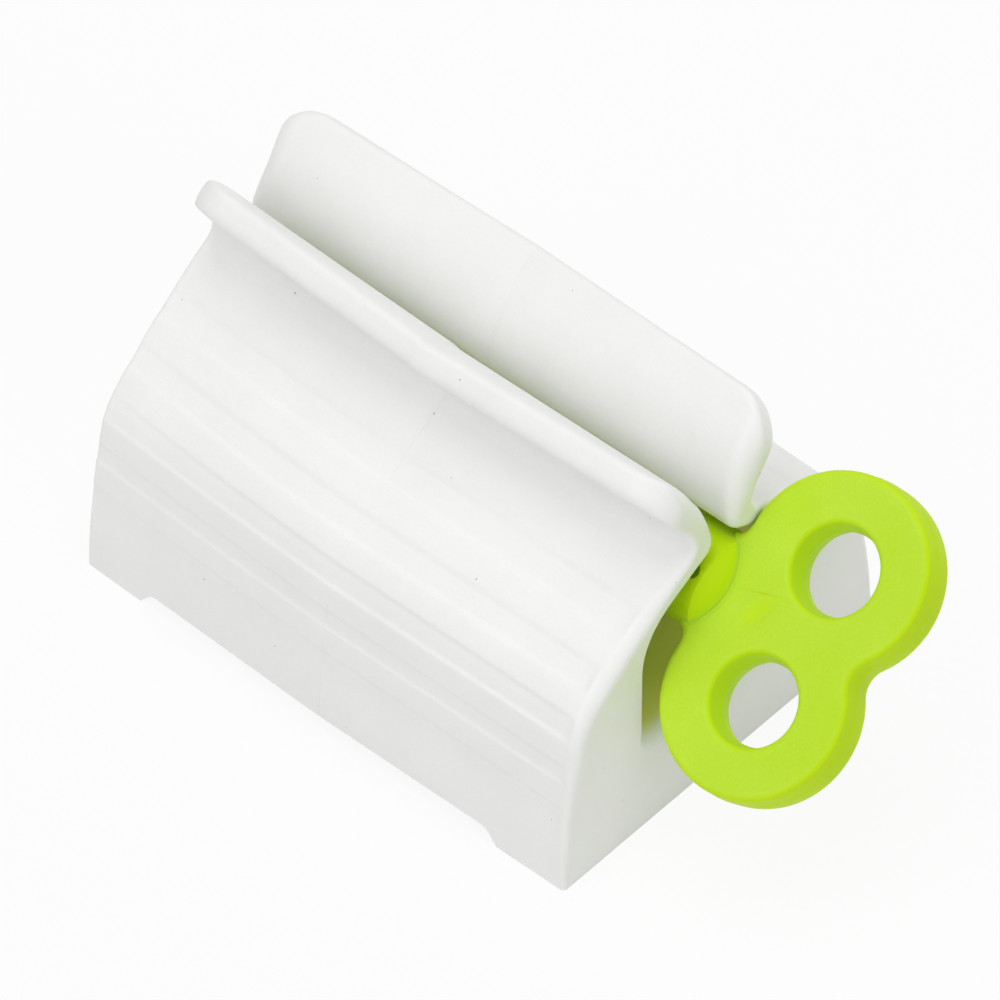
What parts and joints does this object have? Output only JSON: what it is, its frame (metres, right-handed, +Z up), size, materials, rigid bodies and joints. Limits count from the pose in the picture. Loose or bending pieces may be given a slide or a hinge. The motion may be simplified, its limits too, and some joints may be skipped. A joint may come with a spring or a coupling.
{
  "type": "toothpaste tube squeezer",
  "caption": "Bell-shaped moulded stand with flared lips round a feed slot, and a split-shaft key with a ring handle that winds a tube's tail to squeeze it out.",
  "frame": {"origin": "on the standing surface, under the middle of the whole object's box", "axes": "+X along the key's axis from the stand to the handle, +Y from the front side to the rear side, +Z up through the feed slot"},
  "size_m": [0.0698, 0.0388, 0.0366],
  "materials": {
    "white_stand": "white moulded polypropylene, satin with a soft gloss",
    "lime_key": "lime-green moulded polypropylene, satin with a soft gloss"
  },
  "bodies": {
    "stand": {"stand_body": "white_stand"},
    "key": {"winding_key": "lime_key"}
  },
  "joints": [
    {"name": "key_turn", "type": "hinge", "parent": "stand", "child": "key", "pos_m": [0, 0, 0.0213], "axis": [1, 0, 0], "continuous": true}
  ]
}
